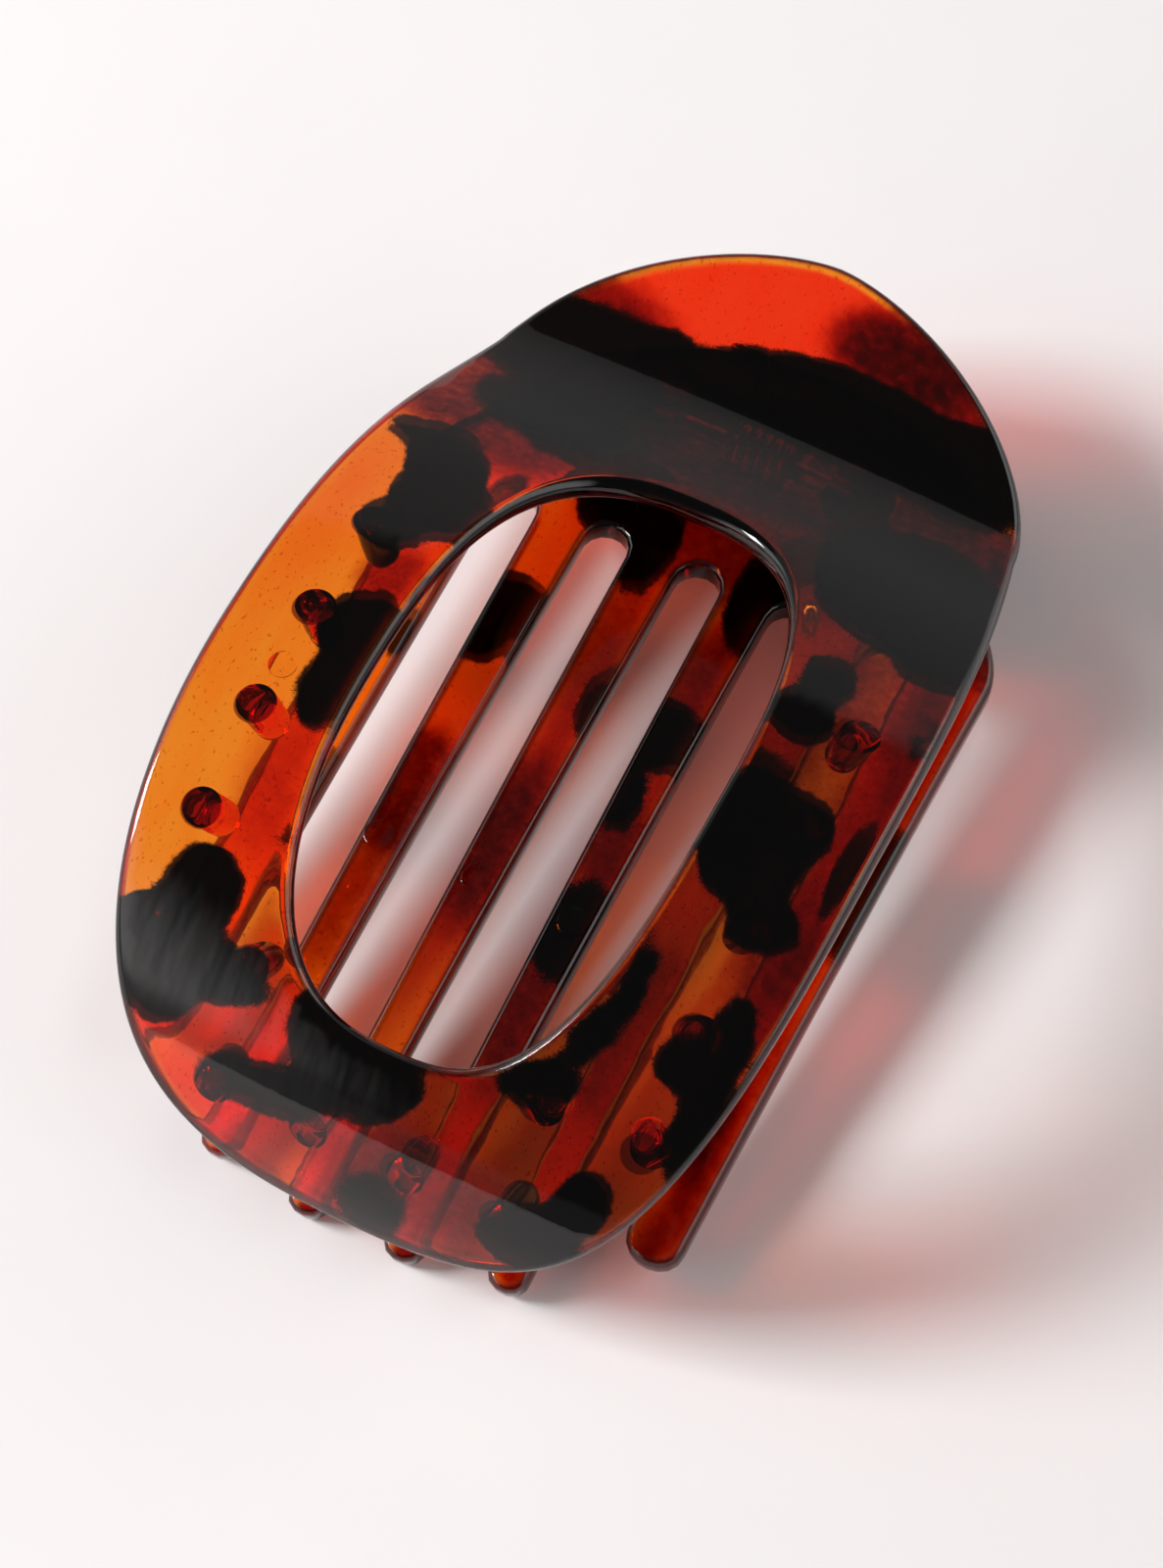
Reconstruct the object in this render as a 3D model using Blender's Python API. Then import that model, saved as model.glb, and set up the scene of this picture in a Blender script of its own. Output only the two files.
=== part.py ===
"""Flat claw hair clip: two bent plastic jaws that turn on a steel pin, closed by a torsion spring.

Lengths below are millimetres and angles are degrees. X is the clip's width, +Y runs from the
tine tips to the thumb tabs, and Z = 0 is the surface that the clip lies on.
"""
import math

import bmesh
import bpy
from mathutils import Matrix, Vector
from mathutils.geometry import delaunay_2d_cdt

MM = 0.001

# Whole clip
CENTRE_Y = 52.0            # half of the length, so that the origin sits under the middle

# Upper jaw: a sheet of even thickness, bent along its length only
PLATE_THICK = 2.4
PLATE_EDGE = 1.0           # rounding of the sheet's edges
PLATE_CREASE_Y = 85.0      # the fold between the plate and its thumb tab
PLATE_CREASE_Z = 18.5
PLATE_CROWN = 0.0012       # slight arch across the width, in mm per mm squared
PLATE_HALF_WIDTH = 31.9
PLATE_WAIST = 27.7         # half width at the fold
PLATE_WIDEST = 45.0        # distance from the fold to the widest place
PLATE_LENGTH = 100.0       # from the fold to the nose, along the sheet
TAB_LENGTH = 20.4
# Downward slope towards the nose, at distances from the fold along the sheet
PLATE_BEND = ((-21.5, 28), (-12, 19), (-5.6, 13), (-3.2, 0), (-1.6, -19), (2, -25), (6, -28), (11, -30), (17, -27),
              (34, -12.8), (51, 0), (68, 21), (85, 49), (102, 86))

WINDOW_MIDDLE = 47.4
WINDOW_HALF_LENGTH = 32.4
WINDOW_HALF_WIDTH = 16.8

# Grip pegs under the plate
PEG_RADIUS = 1.85
PEG_LENGTH = 5.2
PEG_LEAN = 20.0
SIDE_PEG_X = 24.8
SIDE_PEG_STATIONS = (33.2, 44.6, 56.0, 67.0, 78.2)
FRONT_PEGS = ((14.8, 78.6), (14.8, 91.4), (4.9, 91.2))

# Lower jaw: a comb with six tines and a thumb tab
COMB_THICK = 3.4
COMB_EDGE = 0.9
COMB_START_Z = 6.036       # height of the sheet's middle under the pin
COMB_BEND = ((-19.5, 0), (-12.6, 0), (-9.5, -21.7), (-4, -23.7), (3, -25), (6, -18), (10, -3), (14, 2), (36, 4.5),
             (61, 6.0), (76, 9), (88, 14))
COMB_TAB_LENGTH = 19.0
COMB_TAB_HALF_WIDTH = 24.5
COMB_HALF_WIDTH = 30.2     # at the slots' closed ends
COMB_TIP_HALF_WIDTH = 28.4
COMB_LENGTH = 86.4         # from the pin to the middle tines' tips, along the sheet
SLOT_END = 11.6            # distance from the pin to the slots' closed ends
TINE_PITCH = 10.0
SLOT_WIDTH_ROOT = 4.6
SLOT_WIDTH_TIP = 6.1
TIP_STEPS = (0.0, 1.5, 9.4)   # how much shorter each tine is, from the middle pair outwards
SEAT_HALF_WIDTH = 4.6      # raised seat under the coil
SEAT_HEIGHT = 0.7

# Hinge
PIN_Y = 86.0
PIN_Z = 12.6
PIN_RADIUS = 1.0
PIN_HALF_LENGTH = 14.6
PIN_HEAD_RADIUS = 1.8
PIN_HEAD_THICK = 0.8
LUG_RADIUS = 3.1
LUG_HOLE = 1.25
LUG_THICK = 2.4
UPPER_LUG_X = 9.4
LOWER_LUG_X = 12.2

# Torsion spring
WIRE_RADIUS = 0.45
COIL_RADIUS = 2.3
COIL_TURNS = 6
COIL_PITCH = 1.05
LEG_STATION = 9.6         # distance from the fold or pin at which a leg touches its tab
LEG_GAP = 0.35
HOOK_LENGTH = 3.6


def clear_scene():
    for item in list(bpy.data.objects):
        bpy.data.objects.remove(item, do_unlink=True)


def material(name, colour, roughness, metallic, transmission=0.0):
    mat = bpy.data.materials.new(name)
    mat.use_nodes = True
    shader = mat.node_tree.nodes["Principled BSDF"]
    shader.inputs["Base Color"].default_value = colour
    shader.inputs["Roughness"].default_value = roughness
    shader.inputs["Metallic"].default_value = metallic
    shader.inputs["Transmission Weight"].default_value = transmission
    mat.diffuse_color = colour
    return mat


class Bend:
    """The middle line of a bent sheet in the YZ plane, walked by distance along it."""

    STEP = 0.1

    def __init__(self, slopes, start_y, start_z):
        self.slopes = slopes
        self.ahead = self.walk(start_y, start_z, slopes[-1][0])
        self.behind = self.walk(start_y, start_z, slopes[0][0])

    def slope(self, s):
        """Slope at distance s, averaged over a short stretch so that no bend has a sharp start."""
        spread = (-1.2, -0.6, 0.0, 0.6, 1.2)
        return sum(self.raw_slope(s + offset) for offset in spread) / len(spread)

    def raw_slope(self, s):
        points = self.slopes
        if s <= points[0][0]:
            return math.radians(points[0][1])
        for (s0, a0), (s1, a1) in zip(points, points[1:]):
            if s <= s1:
                return math.radians(a0 + (a1 - a0) * (s - s0) / (s1 - s0))
        return math.radians(points[-1][1])

    def walk(self, y, z, end):
        sign = 1 if end > 0 else -1
        line = [(y, z)]
        for i in range(int(abs(end) / self.STEP) + 12):
            angle = self.slope(sign * (i + 0.5) * self.STEP)
            y -= sign * math.cos(angle) * self.STEP
            z -= sign * math.sin(angle) * self.STEP
            line.append((y, z))
        return line

    def point(self, x, s, height, crown=0.0):
        """The place at width x and distance s, raised by height along the sheet's normal."""
        line = self.ahead if s >= 0 else self.behind
        place = abs(s) / self.STEP
        i = min(int(place), len(line) - 2)
        part = place - i
        y = line[i][0] * (1 - part) + line[i + 1][0] * part
        z = line[i][1] * (1 - part) + line[i + 1][1] * part
        angle = self.slope(s)
        rise = height - crown * x * x
        return Vector((x, y - rise * math.sin(angle), z + rise * math.cos(angle)))


def resample(points, spacing):
    """Evenly spaced points along a closed outline."""
    closed = points + [points[0]]
    lengths = [0.0]
    for a, b in zip(closed, closed[1:]):
        lengths.append(lengths[-1] + math.dist(a, b))
    count = max(8, round(lengths[-1] / spacing))
    result = []
    j = 0
    for i in range(count):
        target = lengths[-1] * i / count
        while lengths[j + 1] < target:
            j += 1
        part = (target - lengths[j]) / (lengths[j + 1] - lengths[j])
        a = closed[j]
        b = closed[j + 1]
        result.append((a[0] + (b[0] - a[0]) * part, a[1] + (b[1] - a[1]) * part))
    return result


def area(points):
    return sum(a[0] * b[1] - b[0] * a[1] for a, b in zip(points, points[1:] + points[:1])) / 2


def inset(points, distance):
    """Move each point of an outline to its left, into the material."""
    result = []
    count = len(points)
    for i, (x, y) in enumerate(points):
        before = points[i - 1]
        after = points[(i + 1) % count]
        dx = after[0] - before[0]
        dy = after[1] - before[1]
        size = math.hypot(dx, dy)
        result.append((x - dy / size * distance, y + dx / size * distance))
    return result


def inside(x, y, outline):
    hit = False
    for (x0, y0), (x1, y1) in zip(outline, outline[1:] + outline[:1]):
        if (y0 > y) != (y1 > y) and x < (x1 - x0) * (y - y0) / (y1 - y0) + x0:
            hit = not hit
    return hit


def clearance(x, y, outline):
    """Distance from a place to an outline's nearest edge."""
    best = 1e9
    for (x0, y0), (x1, y1) in zip(outline, outline[1:] + outline[:1]):
        dx = x1 - x0
        dy = y1 - y0
        part = max(0.0, min(1.0, ((x - x0) * dx + (y - y0) * dy) / (dx * dx + dy * dy)))
        best = min(best, math.hypot(x - x0 - dx * part, y - y0 - dy * part))
    return best


def sheet(name, outer, holes, place, thick, edge, rows, column_spacing, edge_steps):
    """A closed sheet with rounded edges, drawn flat as outlines and bent by the place function."""
    loops = [outer if area(outer) > 0 else outer[::-1]]
    loops += [hole if area(hole) < 0 else hole[::-1] for hole in holes]
    build = bmesh.new()
    upper_rims = []
    lower_rims = []
    for loop in loops:
        previous = None
        rings = []
        for side in (1, -1):
            order = range(edge_steps, -1, -1) if side > 0 else range(edge_steps + 1)
            for k in order:
                angle = math.pi / 2 * k / edge_steps
                rim = inset(loop, edge * (1 - math.cos(angle)))
                height = side * (thick / 2 - edge + edge * math.sin(angle))
                rings.append([build.verts.new(place(x, s, height)) for x, s in rim])
        for ring in rings:
            if previous:
                for i in range(len(ring)):
                    build.faces.new((previous[i - 1], previous[i], ring[i], ring[i - 1]))
            previous = ring
        upper_rims.append(rings[0])
        lower_rims.append(rings[-1])
    flat = []
    edges = []
    inner = [inset(loop, edge) for loop in loops]
    for rim in inner:
        start = len(flat)
        flat += rim
        edges += [(start + i, start + (i + 1) % len(rim)) for i in range(len(rim))]
    rim_count = len(flat)
    width = max(abs(x) for x, s in outer)
    columns = int(width / column_spacing)
    for s in rows:
        for i in range(-columns, columns + 1):
            x = i * column_spacing
            if not inside(x, s, inner[0]) or any(inside(x, s, hole) for hole in inner[1:]):
                continue
            if min(clearance(x, s, rim) for rim in inner) > 0.45 * column_spacing:
                flat.append((x, s))
    result = delaunay_2d_cdt([Vector(p) for p in flat], edges, [], 0, 1e-6)
    for side, rims in ((1, upper_rims), (-1, lower_rims)):
        verts = [vert for rim in rims for vert in rim]
        verts += [build.verts.new(place(x, s, side * thick / 2)) for x, s in flat[rim_count:]]
        for face in result[2]:
            corners = [result[3][i][0] for i in face]
            x = sum(flat[i][0] for i in corners) / 3
            s = sum(flat[i][1] for i in corners) / 3
            if inside(x, s, inner[0]) and not any(inside(x, s, hole) for hole in inner[1:]):
                build.faces.new([verts[i] for i in corners[::side]])
    return finish(name, build)


def finish(name, build):
    """Turn millimetre geometry into a smooth metre object."""
    bmesh.ops.recalc_face_normals(build, faces=build.faces)
    for vert in build.verts:
        vert.co = Vector((vert.co.x, vert.co.y - CENTRE_Y, vert.co.z)) * MM
    for face in build.faces:
        face.smooth = True
    mesh = bpy.data.meshes.new(name)
    build.to_mesh(mesh)
    build.free()
    item = bpy.data.objects.new(name, mesh)
    bpy.context.scene.collection.objects.link(item)
    return item


def prism(name, outline, x_from, x_to):
    """A YZ outline drawn along X."""
    build = bmesh.new()
    left = [build.verts.new((x_from, y, z)) for y, z in outline]
    right = [build.verts.new((x_to, y, z)) for y, z in outline]
    build.faces.new(left)
    build.faces.new(right[::-1])
    for i in range(len(outline)):
        build.faces.new((left[i - 1], left[i], right[i], right[i - 1]))
    return finish(name, build)


def lathe(name, profile, origin, axis, sides):
    """Rings of (distance along the axis, radius) turned round an axis; both ends close on it."""
    build = bmesh.new()
    axis = axis.normalized()
    across = axis.orthogonal().normalized()
    up = axis.cross(across)
    rings = []
    for along, radius in profile:
        centre = origin + axis * along
        ring = []
        for i in range(sides):
            angle = 2 * math.pi * i / sides
            ring.append(build.verts.new(centre + (across * math.cos(angle) + up * math.sin(angle)) * radius))
        rings.append(ring)
    for low, high in zip(rings, rings[1:]):
        for i in range(sides):
            build.faces.new((low[i - 1], low[i], high[i], high[i - 1]))
    build.faces.new(rings[0])
    build.faces.new(rings[-1][::-1])
    return finish(name, build)


def tube(name, path, radius, sides):
    """Round wire along a path of points."""
    build = bmesh.new()
    rings = []
    direction = (path[1] - path[0]).normalized()
    across = direction.orthogonal().normalized()
    for i, point in enumerate(path):
        before = path[max(i - 1, 0)]
        after = path[min(i + 1, len(path) - 1)]
        direction = (after - before).normalized()
        across = (across - direction * across.dot(direction)).normalized()
        up = direction.cross(across)
        ring = []
        for j in range(sides):
            angle = 2 * math.pi * j / sides
            ring.append(build.verts.new(point + (across * math.cos(angle) + up * math.sin(angle)) * radius))
        rings.append(ring)
    for low, high in zip(rings, rings[1:]):
        for i in range(sides):
            build.faces.new((low[i - 1], low[i], high[i], high[i - 1]))
    build.faces.new(rings[0])
    build.faces.new(rings[-1][::-1])
    return finish(name, build)


def combine(target, tools, operation):
    """Join or cut target with each tool, and remove the tools."""
    for tool in tools:
        step = target.modifiers.new("step", "BOOLEAN")
        step.operation = operation
        step.solver = "EXACT"
        step.object = tool
        graph = bpy.context.evaluated_depsgraph_get()
        solid = bpy.data.meshes.new_from_object(target.evaluated_get(graph))
        target.modifiers.clear()
        target.data = solid
        bpy.data.objects.remove(tool, do_unlink=True)


def set_origin(item, origin):
    """Move an object's origin without moving its surface."""
    item.data.transform(Matrix.Translation(-origin))
    item.location = origin


def superellipse(half_width, half_length, power, start, end, count):
    """Quarter outline from angle start to end; (half_width, 0) is angle 0."""
    points = []
    for i in range(count):
        angle = math.radians(start + (end - start) * i / (count - 1))
        x = half_width * max(0.0, math.cos(angle)) ** (2 / power)
        s = half_length * max(0.0, math.sin(angle)) ** (2 / power)
        points.append((x, s))
    return points


def plate_outline(spacing):
    tab = [(x, -s) for x, s in superellipse(PLATE_WAIST, TAB_LENGTH, 1.65, 90, 0, 60)]
    back = []
    for i in range(1, 40):
        s = PLATE_WIDEST * i / 40
        narrowing = ((PLATE_WIDEST - s) / PLATE_WIDEST) ** 2.4
        back.append((PLATE_HALF_WIDTH - (PLATE_HALF_WIDTH - PLATE_WAIST) * narrowing, s))
    reach = PLATE_LENGTH - PLATE_WIDEST
    nose = [(x, s + PLATE_WIDEST) for x, s in superellipse(PLATE_HALF_WIDTH, reach, 2.7, 0, 90, 90)]
    half = tab + back + nose
    return resample(half + [(-x, s) for x, s in half[-2:0:-1]], spacing)


def window_outline(spacing):
    quarter = superellipse(WINDOW_HALF_WIDTH, WINDOW_HALF_LENGTH, 2.6, 0, 90, 50)
    half = [(x, -s) for x, s in quarter[:0:-1]] + quarter
    points = [(x, s + WINDOW_MIDDLE) for x, s in half]
    return resample(points + [(-x, s) for x, s in points[-2:0:-1]], spacing)


def comb_outline(spacing):
    """The lower jaw drawn flat: thumb tab, root, and the tines one after the other."""
    tip_radius = 0.45
    half = [(x, -s) for x, s in superellipse(COMB_TAB_HALF_WIDTH, COMB_TAB_LENGTH, 2.2, 90, 0, 40)]
    for i in range(1, 13):
        part = i / 12
        ease = part * part * (3 - 2 * part)
        half.append((COMB_TAB_HALF_WIDTH + (COMB_HALF_WIDTH - COMB_TAB_HALF_WIDTH) * ease, SLOT_END * part))

    def side(s):
        part = (s - SLOT_END) / (COMB_LENGTH - SLOT_END)
        return COMB_HALF_WIDTH + (COMB_TIP_HALF_WIDTH - COMB_HALF_WIDTH) * part

    def slot_half(s):
        part = (s - SLOT_END) / (COMB_LENGTH - SLOT_END)
        return (SLOT_WIDTH_ROOT + (SLOT_WIDTH_TIP - SLOT_WIDTH_ROOT) * part) / 2

    def tip(outer_edge, inner_edge, end):
        outer_x = outer_edge(end)
        inner_x = inner_edge(end)
        middle = (outer_x + inner_x) / 2
        radius = (outer_x - inner_x) / 2
        points = []
        for i in range(17):
            angle = math.pi * i / 16
            bulge = math.sin(angle) ** (1 - tip_radius / 2)
            points.append((middle + radius * math.cos(angle), end - radius + radius * bulge))
        return points

    for tine in (2, 1, 0):
        end = COMB_LENGTH - TIP_STEPS[tine]
        if tine == 2:
            outer_edge = side
        else:
            def outer_edge(s, centre=TINE_PITCH * (tine + 1)):
                return centre - slot_half(s)

        def inner_edge(s, centre=TINE_PITCH * tine):
            return centre + slot_half(s)

        half += tip(outer_edge, inner_edge, end)
        if tine > 0:
            radius = slot_half(SLOT_END)
            for i in range(13):
                angle = math.pi * i / 12
                x = TINE_PITCH * tine + radius * math.cos(angle)
                half.append((x, SLOT_END + radius - radius * math.sin(angle)))
    radius = slot_half(SLOT_END)
    for i in range(6):
        angle = math.pi / 2 * i / 6
        half.append((radius * math.cos(angle), SLOT_END + radius - radius * math.sin(angle)))
    half.append((0.0, SLOT_END))
    return resample(half + [(-x, s) for x, s in half[-2:0:-1]], spacing)


def lug(name, bend, stations, x):
    """A hinge lug: rooted in its sheet's middle, rounded clockwise about the pin."""
    root = [bend.point(0, s, 0) for s in stations]
    outline = [(point.y, point.z) for point in root]
    tangents = []
    for (y, z), side in ((outline[-1], -1), (outline[0], 1)):
        away = math.hypot(y - PIN_Y, z - PIN_Z)
        tangents.append(math.atan2(z - PIN_Z, y - PIN_Y) + side * math.acos(LUG_RADIUS / away))
    turn = (tangents[0] - tangents[1]) % (2 * math.pi)
    for i in range(17):
        angle = tangents[0] - turn * i / 16
        outline.append((PIN_Y + LUG_RADIUS * math.cos(angle), PIN_Z + LUG_RADIUS * math.sin(angle)))
    return prism(name, outline, x - LUG_THICK / 2, x + LUG_THICK / 2)


def bore(name, x):
    profile = ((-LUG_THICK, LUG_HOLE), (LUG_THICK, LUG_HOLE))
    return lathe(name, profile, Vector((x, PIN_Y, PIN_Z)), Vector((1, 0, 0)), 32)


def peg(name, bend, x, s, lean):
    """A round-ended peg on the sheet's underside, leaning towards the middle of the clip."""
    root = bend.point(x, s, -PLATE_THICK / 2, PLATE_CROWN)
    down = root - bend.point(x, s, 0, PLATE_CROWN)
    down.normalize()
    inward = Vector((-math.copysign(1, x), 0, 0))
    axis = down * math.cos(math.radians(lean)) + inward * math.sin(math.radians(lean))
    straight = PEG_LENGTH - PEG_RADIUS
    profile = [(-0.9, PEG_RADIUS), (straight, PEG_RADIUS * 0.93)]
    for i in range(1, 4):
        angle = math.pi / 2 * i / 4
        profile.append((straight + PEG_RADIUS * 0.9 * math.sin(angle), PEG_RADIUS * 0.93 * math.cos(angle)))
    return lathe(name, profile, root, axis, 12)


def arc(start, corner, end, radius, count):
    """Points that round a wire's corner."""
    into = (start - corner).normalized()
    out = (end - corner).normalized()
    first = corner + into * radius
    last = corner + out * radius
    points = []
    for i in range(count + 1):
        part = i / count
        low = first.lerp(corner, part)
        high = corner.lerp(last, part)
        points.append(low.lerp(high, part))
    return points


def spring_path(upper, lower, samples):
    """Hook, leg, coil, leg, hook: the wire of the torsion spring."""
    half = COIL_PITCH * COIL_TURNS / 2
    reach = LEG_GAP + WIRE_RADIUS
    top = upper.point(0, -LEG_STATION, -PLATE_THICK / 2 - reach)
    low = lower.point(0, -LEG_STATION, COMB_THICK / 2 + reach)
    ends = []
    for target, side in ((top, 1), (low, -1)):
        dy = target.y - PIN_Y
        dz = target.z - PIN_Z
        angle = math.atan2(dz, dy) + side * math.acos(COIL_RADIUS / math.hypot(dy, dz))
        ends.append(angle)
    turn = (ends[1] - ends[0]) % (2 * math.pi) + 2 * math.pi * (COIL_TURNS - 1)
    coil = []
    for i in range(samples + 1):
        part = i / samples
        angle = ends[0] + turn * part
        x = -half + 2 * half * part
        coil.append(Vector((x, PIN_Y + COIL_RADIUS * math.cos(angle), PIN_Z + COIL_RADIUS * math.sin(angle))))
    top.x = -half
    low.x = half
    top_hook = top - Vector((HOOK_LENGTH, 0, 0))
    low_hook = low + Vector((HOOK_LENGTH, 0, 0))
    path = [top_hook] + arc(top_hook, top, coil[0], 1.0, 5)
    path += coil
    path += arc(coil[-1], low, low_hook, 1.0, 5) + [low_hook]
    return path


def stations(start, end, spacing, fold=None):
    """Row positions along a sheet, closer together round a fold."""
    rows = []
    s = start
    while s < end:
        rows.append(s)
        near = fold is not None and abs(s - fold) < 4.0
        s += spacing / 3 if near else spacing
    return rows


def build_upper(shell):
    bend = Bend(PLATE_BEND, PLATE_CREASE_Y, PLATE_CREASE_Z)

    def place(x, s, height):
        return bend.point(x, s, height, PLATE_CROWN)

    rows = stations(-TAB_LENGTH + 1.5, PLATE_LENGTH - 1.5, 3.0, 0.0)
    plate = sheet("upper_jaw", plate_outline(2.4), [window_outline(2.2)], place, PLATE_THICK, PLATE_EDGE,
                  rows, 4.0, 2)
    tools = []
    for side in (-1, 1):
        for s in SIDE_PEG_STATIONS:
            tools.append(peg("peg", bend, side * SIDE_PEG_X, s, PEG_LEAN))
        for x, s in FRONT_PEGS:
            tools.append(peg("peg", bend, side * x, s, 0.0))
        tools.append(lug("lug", bend, (4.5, 3, 1.5, 0, -1.5, -3, -4.5, -6), side * UPPER_LUG_X))
    combine(plate, tools, "UNION")
    combine(plate, [bore("bore", side * UPPER_LUG_X) for side in (-1, 1)], "DIFFERENCE")
    plate.data.materials.clear()
    plate.data.materials.append(shell)
    set_origin(plate, Vector((0, PIN_Y - CENTRE_Y, PIN_Z)) * MM)
    return bend


def build_lower(shell):
    bend = Bend(COMB_BEND, PIN_Y, COMB_START_Z)
    rows = stations(-COMB_TAB_LENGTH + 1.5, COMB_LENGTH - 1.5, 2.8, 0.0)
    comb = sheet("lower_jaw", comb_outline(2.1), [], bend.point, COMB_THICK, COMB_EDGE, rows, 3.6, 2)
    tools = []
    for side in (-1, 1):
        tools.append(lug("lug", bend, (-6, -4, -2, 0, 2, 4, 6), side * LOWER_LUG_X))
    seat = [bend.point(0, s, COMB_THICK / 2 + SEAT_HEIGHT) for s in (8.0, 6.0, 4.5)]
    seat += [bend.point(0, s, 0) for s in (4.5, 6.0, 8.0)]
    tools.append(prism("seat", [(p.y, p.z) for p in seat], -SEAT_HALF_WIDTH, SEAT_HALF_WIDTH))
    combine(comb, tools, "UNION")
    combine(comb, [bore("bore", side * LOWER_LUG_X) for side in (-1, 1)], "DIFFERENCE")
    comb.data.materials.clear()
    comb.data.materials.append(shell)
    return bend


def build_pin(steel):
    inner = PIN_HALF_LENGTH - PIN_HEAD_THICK
    half = [(inner, PIN_RADIUS), (inner, PIN_HEAD_RADIUS), (PIN_HALF_LENGTH - 0.4, PIN_HEAD_RADIUS),
            (PIN_HALF_LENGTH, PIN_HEAD_RADIUS * 0.55)]
    profile = [(-along, radius) for along, radius in half[::-1]] + half
    pin = lathe("hinge_pin", profile, Vector((0, PIN_Y, PIN_Z)), Vector((1, 0, 0)), 32)
    pin.data.materials.append(steel)


def build_spring(steel, upper, lower):
    wire = tube("torsion_spring", spring_path(upper, lower, COIL_TURNS * 18), WIRE_RADIUS, 8)
    wire.data.materials.append(steel)


def main():
    clear_scene()
    shell = material("tortoiseshell_plastic", (0.42, 0.06, 0.008, 1.0), 0.08, 0.0, 0.6)
    pin_steel = material("pin_steel", (0.62, 0.61, 0.59, 1.0), 0.3, 1.0)
    spring_steel = material("spring_steel", (0.55, 0.54, 0.52, 1.0), 0.35, 1.0)
    upper = build_upper(shell)
    lower = build_lower(shell)
    build_pin(pin_steel)
    build_spring(spring_steel, upper, lower)


main()
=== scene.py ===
"""Looks of the flat claw hair clip: tortoiseshell jaws, steel pin and spring, on a pale table.

Shapes are drawn in millimetres, with Y counted from the tine tips, and turned into the frame's
metres when they are finished. X is the clip's width and Z = 0 is the surface that it lies on.
"""

import math

import bmesh
import bpy
import numpy as np
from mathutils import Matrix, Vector
from mathutils.geometry import delaunay_2d_cdt


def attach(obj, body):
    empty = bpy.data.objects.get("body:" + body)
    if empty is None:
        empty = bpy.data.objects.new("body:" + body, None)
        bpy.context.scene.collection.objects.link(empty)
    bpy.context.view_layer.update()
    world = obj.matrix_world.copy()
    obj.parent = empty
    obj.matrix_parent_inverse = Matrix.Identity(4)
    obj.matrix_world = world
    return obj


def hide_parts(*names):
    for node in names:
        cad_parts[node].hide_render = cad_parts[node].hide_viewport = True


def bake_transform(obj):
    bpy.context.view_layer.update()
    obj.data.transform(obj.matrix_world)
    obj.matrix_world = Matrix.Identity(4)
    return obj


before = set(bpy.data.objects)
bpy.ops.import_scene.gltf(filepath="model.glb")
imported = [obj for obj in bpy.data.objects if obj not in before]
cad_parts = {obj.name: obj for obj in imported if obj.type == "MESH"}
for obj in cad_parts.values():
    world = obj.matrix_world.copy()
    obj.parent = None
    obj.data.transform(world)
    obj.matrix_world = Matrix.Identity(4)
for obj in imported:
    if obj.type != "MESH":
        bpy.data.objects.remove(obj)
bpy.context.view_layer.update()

MM = 0.001
CENTRE_Y = 52.0            # from the drawing's Y = 0 to the frame's origin

# Upper jaw
PLATE_THICK = 2.4
PLATE_EDGE = 1.0
PLATE_CREASE_Y = 85.0
PLATE_CREASE_Z = 18.5
PLATE_CROWN = 0.0012
PLATE_HALF_WIDTH = 31.9
PLATE_WAIST = 27.7
PLATE_WIDEST = 45.0
PLATE_LENGTH = 100.0
TAB_LENGTH = 20.4
TAB_POWER = 1.65           # superellipse powers: 2 is an ellipse, and more is squarer
NOSE_POWER = 2.7
WAIST_POWER = 2.4          # how late the plate narrows towards its waist
PLATE_BEND = (
    (-21.5, 28), (-12, 19), (-5.6, 13), (-3.2, 0), (-1.6, -19), (2, -25), (6, -28), (11, -30),
    (17, -27), (34, -12.8), (51, 0), (68, 21), (85, 49), (102, 86),
)
WINDOW_MIDDLE = 47.4
WINDOW_HALF_LENGTH = 32.4
WINDOW_HALF_WIDTH = 16.8
WINDOW_POWER = 2.6

PEG_RADIUS = 1.85
PEG_LENGTH = 5.2
PEG_LEAN = 20.0
PEG_ROOT = 0.9             # how deep a peg starts inside the sheet
SIDE_PEG_X = 24.8
SIDE_PEG_STATIONS = (33.2, 44.6, 56.0, 67.0, 78.2)
FRONT_PEGS = ((14.8, 78.6), (14.8, 91.4), (4.9, 91.2))
# Where the painted shade discs over the pegs' roots sit on the face above them: the shift along the sheet,
# and towards the middle
DISC_SHIFTS = (1.3, 1.2, 0.7, 0.2, 0.3, -0.6, -1.4, -1.4)
DISC_INWARD = 0.3

# Lower jaw
COMB_THICK = 3.4
COMB_EDGE = 0.9
COMB_START_Z = 6.036
COMB_BEND = (
    (-19.5, 0), (-12.6, 0), (-9.5, -21.7), (-4, -23.7), (3, -25), (6, -18), (10, -3), (14, 2),
    (36, 4.5), (61, 6.0), (76, 9), (88, 14),
)
COMB_TAB_LENGTH = 19.0
COMB_TAB_HALF_WIDTH = 24.5
COMB_TAB_POWER = 2.2
COMB_HALF_WIDTH = 30.2
COMB_TIP_HALF_WIDTH = 28.4
COMB_LENGTH = 86.4
SLOT_END = 11.6
TINE_PITCH = 10.0
SLOT_WIDTH_ROOT = 4.6
SLOT_WIDTH_TIP = 6.1
TIP_STEPS = (0.0, 1.5, 9.4)  # how much sooner each tine ends, from the middle outwards
TIP_POWER = 0.775          # 1 is a half circle, and less is squarer
SEAT_HALF_WIDTH = 4.6
SEAT_HEIGHT = 0.7

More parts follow.
